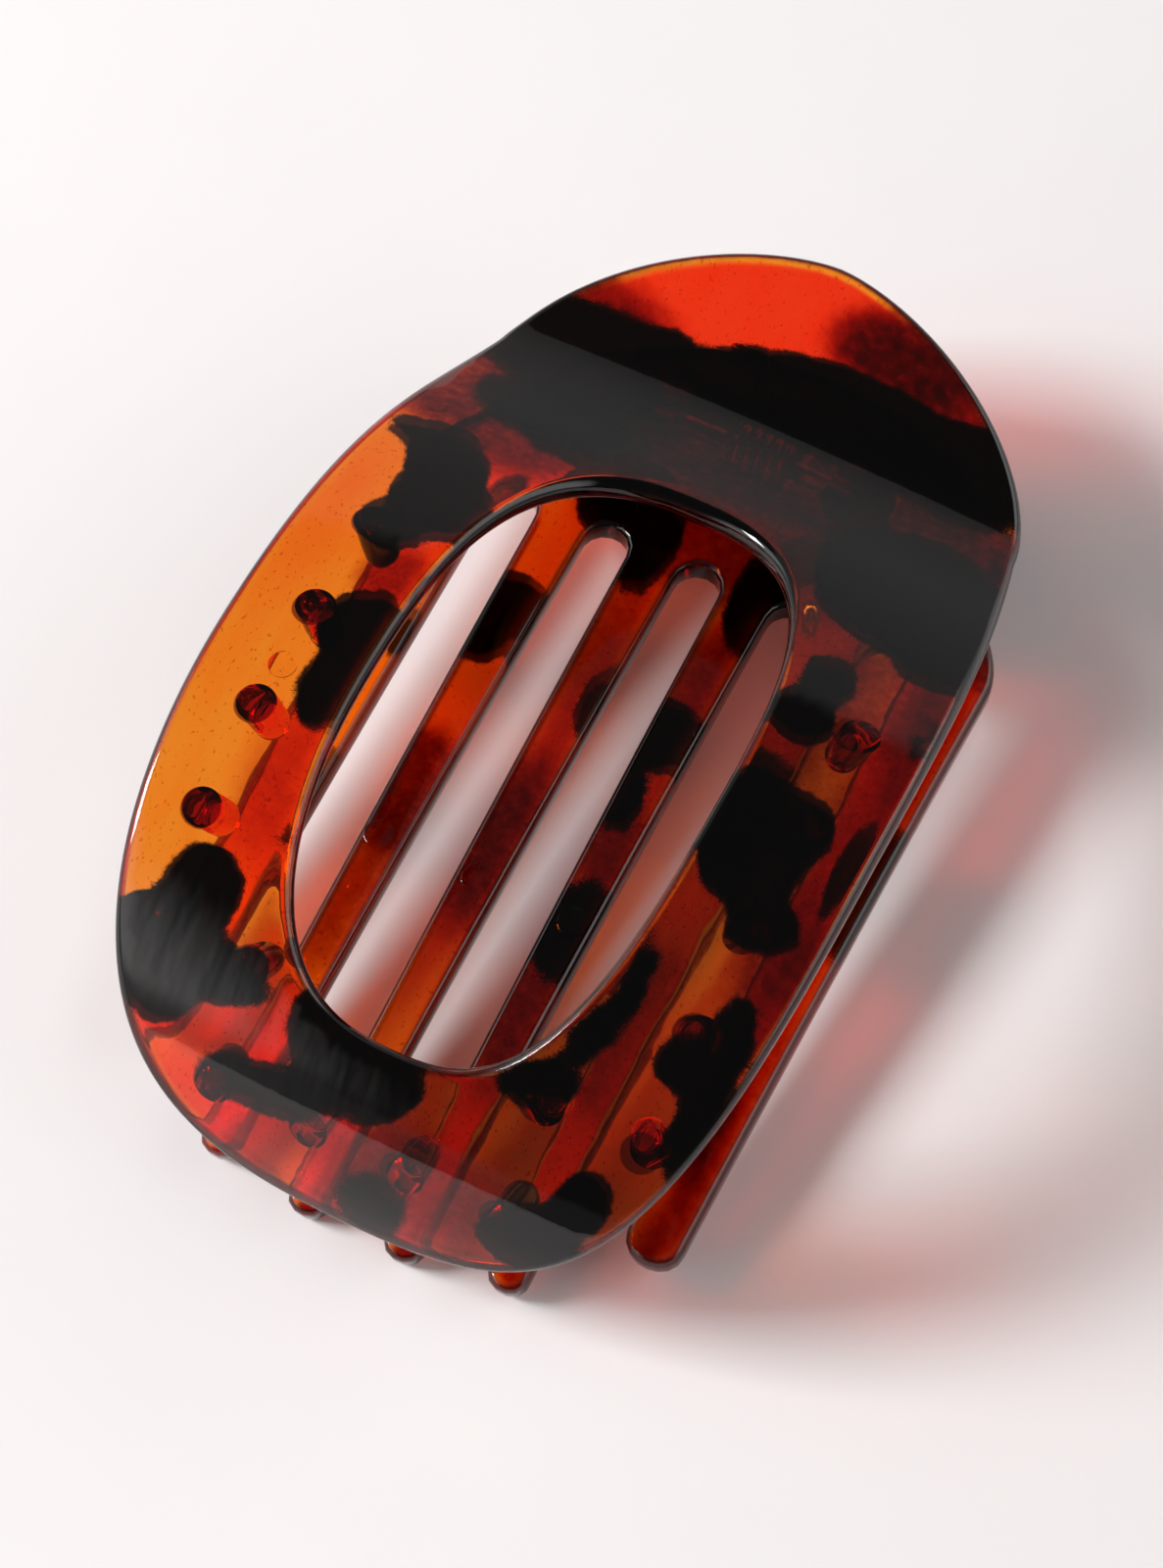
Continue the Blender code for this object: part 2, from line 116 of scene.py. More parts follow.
# Hinge and spring
PIN_Y = 86.0
PIN_Z = 12.6
PIN_RADIUS = 1.0
PIN_HALF_LENGTH = 14.6
PIN_HEAD_RADIUS = 1.8
PIN_HEAD_THICK = 0.8
LUG_RADIUS = 3.1
LUG_HOLE = 1.25
LUG_THICK = 2.4
UPPER_LUG_X = 9.4
LOWER_LUG_X = 12.2
WIRE_RADIUS = 0.45
COIL_RADIUS = 2.3
COIL_TURNS = 6
COIL_PITCH = 1.05
LEG_STATION = 9.6
LEG_GAP = 0.35
HOOK_LENGTH = 3.6

# Pigment spots: place across and along the sheet, half sizes, turn in degrees, softness of the edge
PLATE_BLOTCHES = (
    (-18.5, -5.6, 6.5, 2.6, 0, 0.6), (-13.2, -5.8, 2.9, 2.6, 0, 0.15), (-3.0, -5.8, 9.0, 3.2, -4, 0.2),
    (9.0, -6.6, 15.0, 4.8, 0, 0.2), (20.5, -6.5, 6.0, 5.6, 0, 0.6), (1.0, -8.2, 7.0, 3.0, -6, 0.2),
    (-24.5, -4.2, 4.6, 3.2, 0, 0.3), (-19.0, 1.0, 9.5, 4.6, 0, 0.4), (-18.0, 9.4, 8.5, 4.6, 4, 0.6),
    (21.5, 13.0, 9.5, 9.5, 0, 0.3), (27.0, 20.0, 4.5, 4.4, 0, 0.25), (19.8, 29.4, 2.7, 2.6, 0, 0.2),
    (19.6, 34.6, 3.0, 2.9, 0, 0.15), (-25.0, 20.0, 4.3, 1.9, -8, 0.15),
    (-22.3, 23.5, 4.3, 3.2, 0, 0.15), (-20.2, 28.5, 5.0, 4.4, 0, 0.15),
    (-23.0, 33.4, 3.4, 2.6, 0, 0.15), (-19.6, 45.4, 3.9, 4.2, 0, 0.15),
    (-18.6, 50.8, 3.4, 5.6, 12, 0.3), (-21.4, 74.2, 3.9, 4.6, 0, 0.15),
    (-24.2, 80.4, 4.8, 5.4, 20, 0.15), (-17.6, 80.0, 5.2, 2.9, 0, 0.15),
    (-22.0, 84.2, 3.6, 2.8, 0, 0.15), (-2.0, 82.4, 6.4, 5.0, 0, 0.2), (-6.0, 80.0, 3.4, 4.0, 0, 0.2),
    (-8.8, 88.2, 6.2, 2.4, -8, 0.25), (-13.4, 89.3, 2.2, 1.6, 0, 0.2), (2.6, 95.6, 3.6, 3.3, 0, 0.9),
    (20.9, 85.8, 2.6, 3.4, 0, 0.15), (17.4, 91.2, 4.6, 3.4, -10, 0.2), (17.8, 65.0, 1.2, 4.6, 0, 0.3),
    (16.2, 70.8, 1.6, 3.6, 15, 0.3), (13.6, 76.8, 3.6, 2.2, -20, 0.3), (25.4, 69.8, 3.4, 2.7, 0, 0.2),
    (27.6, 66.0, 1.9, 3.6, 0, 0.2), (27.6, 74.5, 1.9, 6.0, 0, 0.2), (21.6, 48.6, 5.2, 6.6, 0, 0.15),
    (24.5, 45.5, 3.0, 3.0, 0, 0.15), (18.5, 46.0, 2.5, 3.5, 0, 0.15), (25.6, 55.4, 3.2, 2.9, 0, 0.3),
    (29.8, 31.0, 1.0, 3.0, 0, 0.3), (-16.6, 66.2, 0.8, 1.4, 0, 0.1),
)
COMB_BLOTCHES = (
    (-9.6, 9.0, 5.6, 4.4, 0, 0.2), (-5.8, 12.6, 2.0, 4.2, 0, 0.2), (6.4, 12.0, 3.4, 6.6, 0, 0.3),
    (-15.2, 23.6, 4.6, 3.6, 0, 0.15), (-16.2, 27.0, 2.2, 3.2, 0, 0.15), (-2.9, 29.2, 1.9, 4.2, 0, 0.2),
    (4.8, 29.2, 4.4, 3.3, 0, 0.2), (3.6, 36.6, 1.9, 4.0, 0, 0.25), (5.4, 51.2, 3.4, 5.6, 0, 0.5),
    (-23.2, 31.0, 1.6, 2.8, 0, 0.2), (-23.0, 49.5, 1.4, 5.0, 0, 0.2), (28.4, 35.4, 3.6, 7.2, 0, 0.3),
    (15.4, 33.0, 4.0, 6.0, 0, 0.3), (-18.0, 3.0, 7.0, 4.0, 0, 0.3), (17.0, 4.0, 9.0, 4.5, 0, 0.3),
    (-6.0, -8.0, 9.0, 4.0, 0, 0.3), (13.0, -13.0, 6.0, 3.0, 0, 0.3),
)
# Clouds of thinner pigment: the same numbers, and how dense each is
PLATE_CLOUDS = (
    (0.0, 3.0, 31.0, 8.0, 0, 1.5, 1.8), (3.0, 12.5, 14.0, 6.0, 0, 2.0, 0.8),
    (-19.0, 16.5, 7.0, 4.5, 0, 2.0, 1.5), (-28.0, 12.5, 4.0, 5.0, 0, 1.5, 1.5),
    (25.0, 28.5, 6.0, 6.0, 0, 2.0, 0.7), (24.0, 40.0, 8.0, 8.0, 0, 1.5, 0.4),
    (28.0, 57.0, 3.0, 8.0, 0, 1.5, 0.9), (5.0, 91.0, 9.0, 5.0, 0, 2.0, 0.6),
    (-19.5, 39.0, 3.0, 3.5, 25, 0.8, 0.8), (20.0, -11.0, 7.0, 7.0, 0, 2.0, 1.0),
    (-20.0, -7.0, 7.0, 3.5, 0, 1.5, 1.2), (9.0, -14.0, 6.5, 4.0, 8, 1.6, 2.2),
    (-18.5, 62.0, 3.5, 7.0, 0, 2.0, 0.35),
)
COMB_CLOUDS = (
    (-4.8, 22.0, 2.6, 14.0, 0, 1.0, 0.4), (-4.8, 46.0, 3.4, 9.0, 0, 1.5, 1.3),
    (6.0, 22.0, 3.5, 6.0, 0, 1.0, 0.8), (5.8, 42.0, 3.0, 4.5, 0, 1.0, 0.9),
    (5.5, 60.5, 3.5, 8.0, 0, 1.5, 1.0), (-15.0, 45.0, 4.0, 6.6, 0, 0.5, 1.3),
    (-14.5, 58.0, 3.0, 7.0, 0, 1.5, 0.4), (0.0, 9.0, 14.0, 5.0, 0, 1.0, 0.6),
    (28.4, 16.0, 4.0, 13.0, 0, 1.5, 1.2), (28.4, 61.0, 4.0, 10.0, 0, 1.5, 2.7),
    (28.4, 46.0, 4.0, 6.0, 0, 1.5, 0.7), (15.4, 58.0, 4.0, 9.0, 0, 1.0, 0.5),
    (28.4, 76.0, 4.0, 6.0, 0, 2.0, 1.2),
)
# Stretches of clear red among the amber, given in the same way
PLATE_REDS = (
    (0.0, -16.0, 32.0, 14.0, 0, 2.0, 1.4), (-18.0, 62.0, 4.5, 9.0, 0, 2.0, 0.1),
    (-29.0, 34.0, 4.0, 12.0, 0, 3.0, 0.2), (-14.0, 88.0, 8.0, 7.0, 0, 2.5, 0.7),
    (0.0, 95.0, 26.0, 7.0, 0, 3.0, 0.6), (22.0, 75.0, 8.0, 10.0, 0, 3.0, 0.4),
)
COMB_REDS = (
    (-5.0, 30.0, 3.5, 24.0, 0, 2.0, 0.5), (6.0, 40.0, 6.0, 36.0, 0, 2.0, 0.8),
    (28.4, 45.0, 5.0, 40.0, 0, 2.0, 1.1), (-5.0, 85.0, 30.0, 9.0, 0, 2.0, 1.3),
)

# Round marks of the mould's ejector pins: place across and along the sheet, and radius
PLATE_MARKS = ((-24.5, 51.5, 1.35), (-27.4, 14.4, 0.9))
COMB_MARKS = ((-15.4, 50.6, 1.45), (-5.0, 50.6, 1.45), (5.2, 50.6, 1.45), (15.0, 50.6, 1.45))
MARK_HEIGHT = 0.12
MARK_ROOT = 0.4

# Colours of the plastic. What a pigment leaves of the light is its colour raised to its density
AMBER = (0.997, 0.70, 0.02, 1.0)
AMBER_PER_METRE = 1650.0
BLOTCH_COLOUR = (0.0022, 0.0016, 0.0014, 1.0)
CLOUD_COLOUR = (0.30, 0.07, 0.03, 1.0)
RED_COLOUR = (0.97, 0.24, 0.5, 1.0)
STREAK_COLOUR = (1.0, 0.80, 0.6, 1.0)
SPECK_COLOUR = (0.5, 0.2, 0.1, 1.0)
# Painted shade: the dark discs over the pegs' roots
PEG_SHADE_COLOUR = (0.10, 0.035, 0.03, 1.0)
# Painted shade: the dark line along the edges
RIM_SHADE_COLOUR = (0.05, 0.014, 0.01, 1.0)
LAMP_COLOUR = (0.72, 0.68, 0.68, 1.0)
WHITE = (1.0, 1.0, 1.0, 1.0)
PLASTIC_IOR = 1.5

# Colours of the metal and the table
PIN_COLOUR = (0.62, 0.61, 0.59)
SPRING_COLOUR = (0.55, 0.54, 0.52)
TABLE_LIGHT = (0.90, 0.873, 0.873, 1.0)
TABLE_DARK = (0.88, 0.853, 0.853, 1.0)
TABLE_HALF_SIZE = 1.6      # in metres, like everything below

# Studio and camera
KEY_AZIMUTH = 113
KEY_ELEVATION = 36
KEY_DISTANCE = 1.4
KEY_SIZE = 0.46
KEY_POWER = 20.5
KEY_COLOUR = (1.0, 0.985, 0.98)
KEY_TARGET = (0.0, 0.0, 0.012)
SKY_COLOUR = (1.0, 0.985, 0.98, 1.0)
SKY_CEILING = 0.08
SKY_BACK = 0.25
SKY_FRONT = 0.12
SKY_SIDES = (0.45, 1.9)    # near the horizon, and higher up
WALL_TOP = (0.56, 0.62)    # sines of the elevations where each part of the sky ends or grows
FRONT_TOP = (0.14, 0.20)
SIDES_RISE = (0.12, 0.30)
BACKWARDS = (-0.45, 0.89)  # the way that the camera looks, seen from above
CAMERA_AZIMUTH = 26.89
CAMERA_ELEVATION = 62.72
CAMERA_DISTANCE = 0.41997
CAMERA_TARGET = (0.00088, -0.00575, 0.015)
CAMERA_LENS = 138.75
CAMERA_SENSOR = 36.0


class Bend:
    """The middle line of a bent sheet in the YZ plane, walked by distance along it."""

    STEP = 0.1

    def __init__(self, slopes, start_y, start_z):
        self.slopes = np.array(slopes, float)
        first = slopes[0][0] - 1.2
        last = slopes[-1][0] + 1.2
        ahead = self.walk(start_y, start_z, last)
        behind = self.walk(start_y, start_z, first)
        steps = np.concatenate((-np.arange(len(behind) - 1, 0, -1), np.arange(len(ahead))))
        self.s = self.STEP * steps
        self.line = np.array(behind[:0:-1] + ahead)
        self.angle = self.slope(self.s)

    def slope(self, s):
        """Slope at distance s, averaged over a short stretch so that no bend has a sharp start."""
        spread = (-1.2, -0.6, 0.0, 0.6, 1.2)
        samples = [np.interp(s + offset, self.slopes[:, 0], self.slopes[:, 1]) for offset in spread]
        return np.radians(np.mean(samples, axis=0))

    def walk(self, y, z, end):
        sign = 1 if end > 0 else -1
        line = [(y, z)]
        middles = sign * (np.arange(int(abs(end) / self.STEP)) + 0.5) * self.STEP
        for angle in self.slope(middles):
            y -= sign * math.cos(angle) * self.STEP
            z -= sign * math.sin(angle) * self.STEP
            line.append((y, z))
        return line

    def point(self, x, s, height, crown=0.0):
        """The place at width x and distance s, raised by height along the sheet's normal."""
        y = np.interp(s, self.s, self.line[:, 0])
        z = np.interp(s, self.s, self.line[:, 1])
        angle = self.slope(s)
        rise = height - crown * x * x
        return Vector((x, y - rise * math.sin(angle), z + rise * math.cos(angle)))

    def places(self, points, crown):
        """For points in millimetres, where each lies on the flat sheet: x, distance and height."""
        result = np.empty_like(points)
        for start in range(0, len(points), 4000):
            block = points[start:start + 4000]
            dy = block[:, 1:2] - self.line[None, :, 0]
            dz = block[:, 2:3] - self.line[None, :, 1]
            nearest = np.argmin(dy * dy + dz * dz, axis=1)
            rows = np.arange(len(block))
            angle = self.angle[nearest]
            height = -dy[rows, nearest] * np.sin(angle) + dz[rows, nearest] * np.cos(angle)
            result[start:start + 4000, 0] = block[:, 0]
            result[start:start + 4000, 1] = self.s[nearest]
            result[start:start + 4000, 2] = height + crown * block[:, 0] ** 2
        return result


def resample(points, spacing):
    """Evenly spaced points along a closed outline."""
    closed = np.array(points + [points[0]])
    lengths = np.concatenate(([0.0], np.cumsum(np.hypot(*np.diff(closed, axis=0).T))))
    count = max(8, round(lengths[-1] / spacing))
    targets = lengths[-1] * np.arange(count) / count
    xs = np.interp(targets, lengths, closed[:, 0])
    ys = np.interp(targets, lengths, closed[:, 1])
    return list(zip(xs.tolist(), ys.tolist()))


def area(points):
    return sum(a[0] * b[1] - b[0] * a[1] for a, b in zip(points, points[1:] + points[:1])) / 2


def inset(points, distance):
    """Move each point of an outline to its left, into the material."""
    result = []
    count = len(points)
    for i, (x, y) in enumerate(points):
        before = points[i - 1]
        after = points[(i + 1) % count]
        dx = after[0] - before[0]
        dy = after[1] - before[1]
        size = math.hypot(dx, dy)
        result.append((x - dy / size * distance, y + dx / size * distance))
    return result


def inside(places, outline):
    """Which of many flat places lie inside an outline."""
    a = np.array(outline)
    b = np.roll(a, -1, axis=0)
    x = places[:, :1]
    y = places[:, 1:]
    crosses = (a[:, 1] > y) != (b[:, 1] > y)
    rise = np.where(b[:, 1] == a[:, 1], 1.0, b[:, 1] - a[:, 1])
    meets = (b[:, 0] - a[:, 0]) * (y - a[:, 1]) / rise + a[:, 0]
    return (crosses & (x < meets)).sum(axis=1) % 2 == 1


def clearance(places, outline):
    """Distance from each flat place to an outline's nearest edge."""
    a = np.array(outline)
    d = np.roll(a, -1, axis=0) - a
    px = places[:, :1] - a[:, 0]
    py = places[:, 1:] - a[:, 1]
    part = np.clip((px * d[:, 0] + py * d[:, 1]) / (d ** 2).sum(axis=1), 0.0, 1.0)
    return np.hypot(px - part * d[:, 0], py - part * d[:, 1]).min(axis=1)


def sheet(name, outer, holes, place, thick, edge, spacing, edge_steps):
    """A closed sheet with rounded edges, drawn flat as outlines and bent by the place function."""
    loops = [outer if area(outer) > 0 else outer[::-1]]
    loops += [hole if area(hole) < 0 else hole[::-1] for hole in holes]
    build = bmesh.new()
    upper_rims = []
    lower_rims = []
    for loop in loops:
        rings = []
        for side in (1, -1):
            order = range(edge_steps, -1, -1) if side > 0 else range(edge_steps + 1)
            for k in order:
                angle = math.pi / 2 * k / edge_steps
                rim = inset(loop, edge * (1 - math.cos(angle)))
                height = side * (thick / 2 - edge + edge * math.sin(angle))
                rings.append([build.verts.new(place(x, s, height)) for x, s in rim])
        for previous, ring in zip(rings, rings[1:]):
            for i in range(len(ring)):
                build.faces.new((previous[i - 1], previous[i], ring[i], ring[i - 1]))
        upper_rims.append(rings[0])
        lower_rims.append(rings[-1])
    flat = []
    edges = []
    inner = [inset(loop, edge) for loop in loops]
    for rim in inner:
        start = len(flat)
        flat += rim
        edges += [(start + i, start + (i + 1) % len(rim)) for i in range(len(rim))]
    rim_count = len(flat)
    corners = np.array(outer)
    xs = np.arange(0.0, corners[:, 0].max(), spacing)
    xs = np.concatenate((-xs[:0:-1], xs))
    rows = np.arange(corners[:, 1].min() + edge, corners[:, 1].max() - edge, spacing)
    grid = np.array([(x, s) for s in rows for x in xs])
    keep = inside(grid, inner[0])
    for hole in inner[1:]:
        keep &= ~inside(grid, hole)
    for rim in inner:
        keep &= clearance(grid, rim) > 0.5 * spacing
    flat += [tuple(p) for p in grid[keep]]
    result = delaunay_2d_cdt([Vector(p) for p in flat], edges, [], 0, 1e-6)
    faces = [[result[3][i][0] for i in face] for face in result[2]]
    centres = np.array([[sum(flat[i][axis] for i in face) / 3 for axis in (0, 1)] for face in faces])
    real = inside(centres, inner[0])
    for hole in inner[1:]:
        real &= ~inside(centres, hole)
    for side, rims in ((1, upper_rims), (-1, lower_rims)):
        verts = [vert for rim in rims for vert in rim]
        verts += [build.verts.new(place(x, s, side * thick / 2)) for x, s in flat[rim_count:]]
        for face, wanted in zip(faces, real):
            if wanted:
                build.faces.new([verts[i] for i in face[::side]])
    return finish(name, build)


def finish(name, build):
    """Turn millimetre geometry into a smooth object in the frame's metres."""
    bmesh.ops.recalc_face_normals(build, faces=build.faces)
    for vert in build.verts:
        vert.co = Vector((vert.co.x, vert.co.y - CENTRE_Y, vert.co.z)) * MM
    for face in build.faces:
        face.smooth = True
    mesh = bpy.data.meshes.new(name)
    build.to_mesh(mesh)
    build.free()
    item = bpy.data.objects.new(name, mesh)
    bpy.context.scene.collection.objects.link(item)
    return item


def prism(name, outline, x_from, x_to, bevel):
    """A YZ outline drawn along X, with its long edges rounded."""
    build = bmesh.new()
    left = [build.verts.new((x_from, y, z)) for y, z in outline]
    right = [build.verts.new((x_to, y, z)) for y, z in outline]
    build.faces.new(left)
    build.faces.new(right[::-1])
    for i in range(len(outline)):
        build.faces.new((left[i - 1], left[i], right[i], right[i - 1]))
    rims = [edge for edge in build.edges if abs(edge.verts[0].co.x - edge.verts[1].co.x) < 1e-6]
    bmesh.ops.bevel(build, geom=rims, offset=bevel, segments=3, profile=0.5, affect="EDGES")
    return finish(name, build)


def lathe(name, profile, origin, axis, sides):
    """Rings of (distance along the axis, radius) turned round an axis; both ends close on it."""
    build = bmesh.new()
    axis = axis.normalized()
    across = axis.orthogonal().normalized()
    up = axis.cross(across)
    rings = []
    for along, radius in profile:
        centre = origin + axis * along
        ring = []
        for i in range(sides):
            angle = 2 * math.pi * i / sides
            spoke = across * math.cos(angle) + up * math.sin(angle)
            ring.append(build.verts.new(centre + spoke * radius))
        rings.append(ring)
    for low, high in zip(rings, rings[1:]):
        for i in range(sides):
            build.faces.new((low[i - 1], low[i], high[i], high[i - 1]))
    build.faces.new(rings[0])
    build.faces.new(rings[-1][::-1])
    return finish(name, build)


def tube(name, path, radius, sides):
    """Round wire along a path of points, with domed ends."""
    build = bmesh.new()
    across = (path[1] - path[0]).orthogonal().normalized()
    stops = [(0, -0.7, 0.45), (0, -0.35, 0.85)] + [(i, 0.0, 1.0) for i in range(len(path))]
    stops += [(len(path) - 1, 0.35, 0.85), (len(path) - 1, 0.7, 0.45)]
    rings = []
    for i, beyond, share in stops:
        before = path[max(i - 1, 0)]
        after = path[min(i + 1, len(path) - 1)]
        direction = (after - before).normalized()
        across = (across - direction * across.dot(direction)).normalized()
        up = direction.cross(across)
        centre = path[i] + direction * beyond * radius
        ring = []
        for j in range(sides):
            angle = 2 * math.pi * j / sides
            spoke = across * math.cos(angle) + up * math.sin(angle)
            ring.append(build.verts.new(centre + spoke * radius * share))
        rings.append(ring)
    for low, high in zip(rings, rings[1:]):
        for i in range(sides):
            build.faces.new((low[i - 1], low[i], high[i], high[i - 1]))
    build.faces.new(rings[0])
    build.faces.new(rings[-1][::-1])
    return finish(name, build)


def combine(target, tools, operation):
    """Join or cut target with each tool, and remove the tools."""
    for tool in tools:
        step = target.modifiers.new("step", "BOOLEAN")
        step.operation = operation
        step.solver = "EXACT"
        step.object = tool
        graph = bpy.context.evaluated_depsgraph_get()
        solid = bpy.data.meshes.new_from_object(target.evaluated_get(graph))
        target.modifiers.clear()
        target.data = solid
        bpy.data.objects.remove(tool, do_unlink=True)
    target.data.set_sharp_from_angle(angle=math.radians(35))


def superellipse(half_width, half_length, power, start, end, count):
    """Quarter outline from angle start to end; (half_width, 0) is angle 0."""
    points = []
    for i in range(count):
        angle = math.radians(start + (end - start) * i / (count - 1))
        x = half_width * max(0.0, math.cos(angle)) ** (2 / power)
        s = half_length * max(0.0, math.sin(angle)) ** (2 / power)
        points.append((x, s))
    return points


def plate_outline(spacing):
    tab = [(x, -s) for x, s in superellipse(PLATE_WAIST, TAB_LENGTH, TAB_POWER, 90, 0, 60)]
    back = []
    for i in range(1, 40):
        s = PLATE_WIDEST * i / 40
        narrowing = ((PLATE_WIDEST - s) / PLATE_WIDEST) ** WAIST_POWER
        back.append((PLATE_HALF_WIDTH - (PLATE_HALF_WIDTH - PLATE_WAIST) * narrowing, s))
    reach = PLATE_LENGTH - PLATE_WIDEST
    nose = superellipse(PLATE_HALF_WIDTH, reach, NOSE_POWER, 0, 90, 90)
    nose = [(x, s + PLATE_WIDEST) for x, s in nose]
    half = tab + back + nose
    return resample(half + [(-x, s) for x, s in half[-2:0:-1]], spacing)


def window_outline(spacing):
    quarter = superellipse(WINDOW_HALF_WIDTH, WINDOW_HALF_LENGTH, WINDOW_POWER, 0, 90, 50)
    half = [(x, -s) for x, s in quarter[:0:-1]] + quarter
    points = [(x, s + WINDOW_MIDDLE) for x, s in half]
    return resample(points + [(-x, s) for x, s in points[-2:0:-1]], spacing)


def comb_outline(spacing):
    """The lower jaw drawn flat: thumb tab, root, and the tines one after the other."""
    tab = superellipse(COMB_TAB_HALF_WIDTH, COMB_TAB_LENGTH, COMB_TAB_POWER, 90, 0, 40)
    half = [(x, -s) for x, s in tab]
    for i in range(1, 13):
        part = i / 12
        ease = part * part * (3 - 2 * part)
        width = COMB_TAB_HALF_WIDTH + (COMB_HALF_WIDTH - COMB_TAB_HALF_WIDTH) * ease
        half.append((width, SLOT_END * part))

    def side(s):
        part = (s - SLOT_END) / (COMB_LENGTH - SLOT_END)
        return COMB_HALF_WIDTH + (COMB_TIP_HALF_WIDTH - COMB_HALF_WIDTH) * part

    def slot_half(s):
        part = (s - SLOT_END) / (COMB_LENGTH - SLOT_END)
        return (SLOT_WIDTH_ROOT + (SLOT_WIDTH_TIP - SLOT_WIDTH_ROOT) * part) / 2

    def tip(outer_edge, inner_edge, end):
        outer_x = outer_edge(end)
        inner_x = inner_edge(end)
        middle = (outer_x + inner_x) / 2
        radius = (outer_x - inner_x) / 2
        points = []
        for i in range(25):
            angle = math.pi * i / 24
            bulge = math.sin(angle) ** TIP_POWER
            points.append((middle + radius * math.cos(angle), end - radius + radius * bulge))
        return points

    for tine in (2, 1, 0):
        end = COMB_LENGTH - TIP_STEPS[tine]
        if tine == 2:
            outer_edge = side
        else:
            def outer_edge(s, centre=TINE_PITCH * (tine + 1)):
                return centre - slot_half(s)

        def inner_edge(s, centre=TINE_PITCH * tine):
            return centre + slot_half(s)

        half += tip(outer_edge, inner_edge, end)
        if tine > 0:
            radius = slot_half(SLOT_END)
            for i in range(17):
                angle = math.pi * i / 16
                x = TINE_PITCH * tine + radius * math.cos(angle)
                half.append((x, SLOT_END + radius - radius * math.sin(angle)))
    radius = slot_half(SLOT_END)
    for i in range(8):
        angle = math.pi / 2 * i / 8
        half.append((radius * math.cos(angle), SLOT_END + radius - radius * math.sin(angle)))
    half.append((0.0, SLOT_END))
    return resample(half + [(-x, s) for x, s in half[-2:0:-1]], spacing)


def lug(name, bend, stations, x):
    """A hinge lug: rooted in its sheet's middle, rounded clockwise about the pin."""
    root = [bend.point(0, s, 0) for s in stations]
    outline = [(point.y, point.z) for point in root]
    tangents = []
    for (y, z), side in ((outline[-1], -1), (outline[0], 1)):
        away = math.hypot(y - PIN_Y, z - PIN_Z)
        tangents.append(math.atan2(z - PIN_Z, y - PIN_Y) + side * math.acos(LUG_RADIUS / away))
    turn = (tangents[0] - tangents[1]) % (2 * math.pi)
    for i in range(25):
        angle = tangents[0] - turn * i / 24
        outline.append((PIN_Y + LUG_RADIUS * math.cos(angle), PIN_Z + LUG_RADIUS * math.sin(angle)))
    return prism(name, outline, x - LUG_THICK / 2, x + LUG_THICK / 2, 0.2)


def bore(name, x):
    profile = ((-LUG_THICK, LUG_HOLE), (LUG_THICK, LUG_HOLE))
    return lathe(name, profile, Vector((x, PIN_Y, PIN_Z)), Vector((1, 0, 0)), 40)


def peg(name, bend, x, s, lean):
    """A round-ended peg on the sheet's underside, leaning towards the middle of the clip."""
    root = bend.point(x, s, -PLATE_THICK / 2, PLATE_CROWN)
    down = root - bend.point(x, s, 0, PLATE_CROWN)
    down.normalize()
    inward = Vector((-math.copysign(1, x), 0, 0))
    axis = down * math.cos(math.radians(lean)) + inward * math.sin(math.radians(lean))
    straight = PEG_LENGTH - PEG_RADIUS
    profile = [(-PEG_ROOT, PEG_RADIUS), (straight * 0.5, PEG_RADIUS * 0.97),
               (straight, PEG_RADIUS * 0.93)]
    for i in range(1, 7):
        angle = math.pi / 2 * i / 7
        along = straight + PEG_RADIUS * 0.9 * math.sin(angle)
        profile.append((along, PEG_RADIUS * 0.93 * math.cos(angle)))
    return lathe(name, profile, root, axis, 28)


def mark(name, bend, x, s, side, thick, crown, radius):
    """The low round step that an ejector pin leaves on one face of a sheet."""
    root = bend.point(x, s, side * thick / 2, crown)
    axis = root - bend.point(x, s, 0, crown)
    profile = ((-MARK_ROOT, radius), (MARK_HEIGHT * 0.6, radius), (MARK_HEIGHT, radius * 0.93))
    return lathe(name, profile, root, axis, 32)


def arc(start, corner, end, radius, count):
    """Points that round a wire's corner."""
    into = (start - corner).normalized()
    out = (end - corner).normalized()
    first = corner + into * radius
    last = corner + out * radius
    points = []
    for i in range(count + 1):
        part = i / count
        low = first.lerp(corner, part)
        high = corner.lerp(last, part)
        points.append(low.lerp(high, part))
    return points


def spring_path(upper, lower, samples):
    """Hook, leg, coil, leg, hook: the wire of the torsion spring."""
    half = COIL_PITCH * COIL_TURNS / 2
    reach = LEG_GAP + WIRE_RADIUS
    top = upper.point(0, -LEG_STATION, -PLATE_THICK / 2 - reach)
    low = lower.point(0, -LEG_STATION, COMB_THICK / 2 + reach)
    ends = []
    for target, side in ((top, 1), (low, -1)):
        dy = target.y - PIN_Y
        dz = target.z - PIN_Z
        angle = math.atan2(dz, dy) + side * math.acos(COIL_RADIUS / math.hypot(dy, dz))
        ends.append(angle)
    turn = (ends[1] - ends[0]) % (2 * math.pi) + 2 * math.pi * (COIL_TURNS - 1)
    coil = []
    for i in range(samples + 1):
        part = i / samples
        angle = ends[0] + turn * part
        x = -half + 2 * half * part
        y = PIN_Y + COIL_RADIUS * math.cos(angle)
        z = PIN_Z + COIL_RADIUS * math.sin(angle)
        coil.append(Vector((x, y, z)))
    top.x = -half
    low.x = half
    top_hook = top - Vector((HOOK_LENGTH, 0, 0))
    low_hook = low + Vector((HOOK_LENGTH, 0, 0))
    path = [top_hook] + arc(top_hook, top, coil[0], 1.0, 8)
    path += coil
    path += arc(coil[-1], low, low_hook, 1.0, 8) + [low_hook]
    return path


